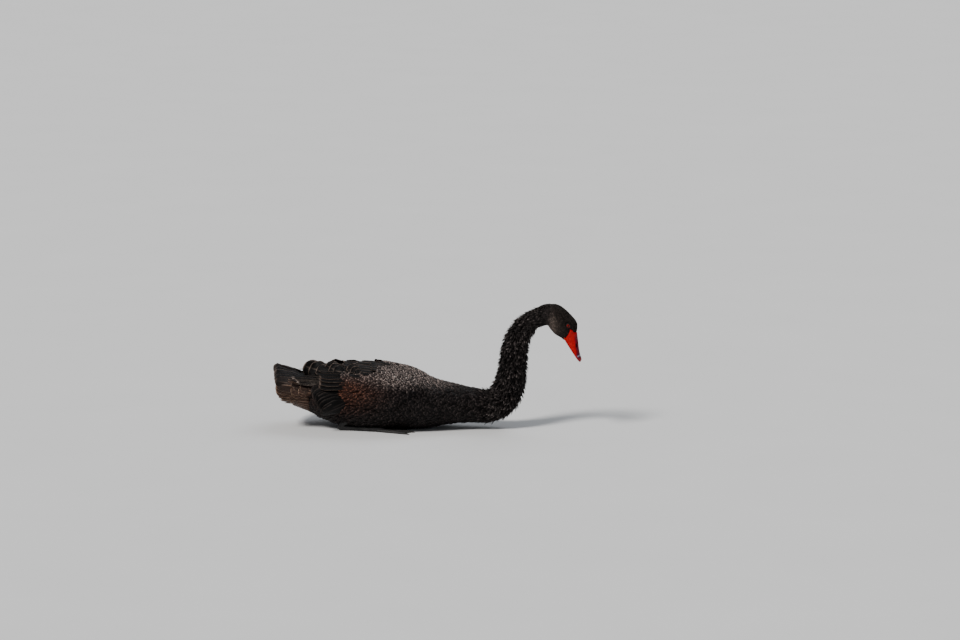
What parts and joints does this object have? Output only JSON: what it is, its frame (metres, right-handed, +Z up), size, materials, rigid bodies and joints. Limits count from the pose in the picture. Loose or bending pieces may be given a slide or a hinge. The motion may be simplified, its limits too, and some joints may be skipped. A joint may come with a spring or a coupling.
{
  "type": "black swan, still life-size model",
  "caption": "Still, life-size model of a black swan afloat: low body, folded wings with curled tertials, raised neck bent over and a red bill turned down.",
  "frame": {"origin": "on the floor under the middle of the belly, in the flat that the belly rests on", "axes": "+X towards the breast, the way the bird faces, +Y to the bird's left, +Z up"},
  "size_m": [0.8672, 0.3026, 0.3584],
  "materials": {
    "body_plumage": "soft, matt, near-black feathers with dull brown edges",
    "flight_feathers": "smooth, slightly glossy, dark brown feathers with pale edges",
    "bill_horn": "waxy red horn with a pale band near the tip",
    "eye": "wet, clear, dark red",
    "leg_skin": "scaly, dull, dark grey skin"
  },
  "bodies": {
    "root": {"torso": "body_plumage", "tail": "flight_feathers", "wing_left": "flight_feathers", "wing_right": "flight_feathers", "neck_base": "body_plumage", "neck_lower": "body_plumage", "neck_middle": "body_plumage", "neck_upper": "body_plumage", "head": "body_plumage", "bill_upper": "bill_horn", "bill_lower": "bill_horn", "eye_left": "eye", "eye_right": "eye", "leg_left": "leg_skin", "leg_right": "leg_skin", "foot_left": "leg_skin", "foot_right": "leg_skin"}
  },
  "joints": []
}
